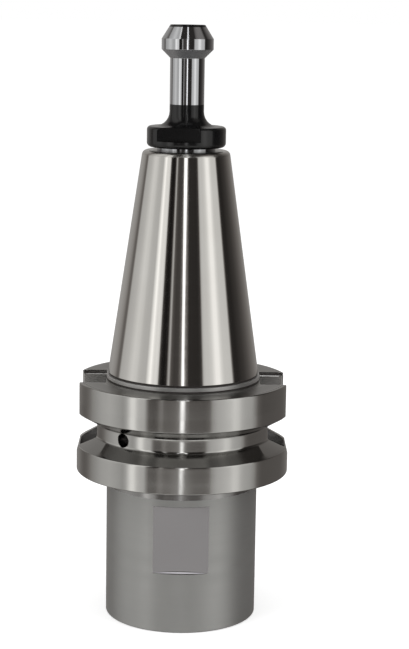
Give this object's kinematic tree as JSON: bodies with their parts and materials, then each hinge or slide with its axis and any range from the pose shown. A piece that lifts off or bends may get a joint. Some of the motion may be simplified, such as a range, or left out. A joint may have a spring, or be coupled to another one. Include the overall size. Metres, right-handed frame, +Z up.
{
  "type": "tool holder",
  "caption": "Steep-taper tool holder of size 40 with a gripper flange, drive slots, flatted nose with a G 1/2 female thread, and a pull stud.",
  "frame": {"origin": "centre of the nose's end face, on which the holder stands", "axes": "+Z up the axis from the nose to the pull stud; +X through a drive slot; -Y through the spanner flat that faces the viewer"},
  "size_m": [0.063, 0.063, 0.1749],
  "materials": {
    "ground_steel": "ground cone, fine-turned flange and nose",
    "black_steel": "black oxide with ground neck and head"
  },
  "bodies": {
    "root": {"holder_body": "ground_steel", "pull_stud": "black_steel"}
  },
  "joints": []
}
